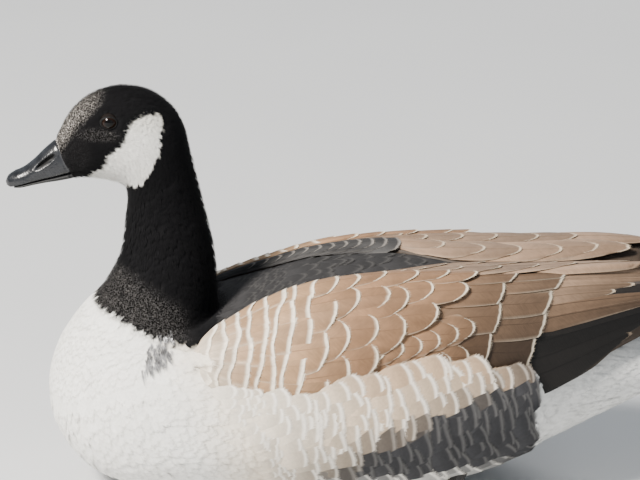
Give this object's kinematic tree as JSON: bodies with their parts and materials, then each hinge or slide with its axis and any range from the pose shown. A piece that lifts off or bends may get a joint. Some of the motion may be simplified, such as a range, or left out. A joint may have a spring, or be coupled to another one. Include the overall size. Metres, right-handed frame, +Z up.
{
  "type": "canada goose",
  "caption": "Life-size still Canada goose settled on its belly, neck raised, wings folded over the back, feet tucked under.",
  "frame": {"origin": "centre of the bounding box in plan, on the floor under the belly", "axes": "+Z up, the goose faces -X, its left side is -Y, +X runs from bill to tail"},
  "size_m": [0.6422, 0.2294, 0.3441],
  "materials": {
    "black_plumage": "soft matt black plumage with a white cheek patch",
    "pale_plumage": "soft matt plumage, cream on the breast and barred grey on the flank",
    "brown_feather": "dry brown feathers with pale edges",
    "dark_feather": "dry blackish feathers",
    "bill": "satin black horn",
    "eye": "wet dark brown eye",
    "leg_skin": "satin black scaly skin"
  },
  "bodies": {
    "root": {"head": "black_plumage", "neck": "black_plumage", "torso": "pale_plumage", "wing_left": "brown_feather", "wing_right": "brown_feather", "tail": "dark_feather", "bill_upper": "bill", "bill_lower": "bill", "eye_left": "eye", "eye_right": "eye", "leg_left": "leg_skin", "leg_right": "leg_skin", "foot_left": "leg_skin", "foot_right": "leg_skin"}
  },
  "joints": []
}
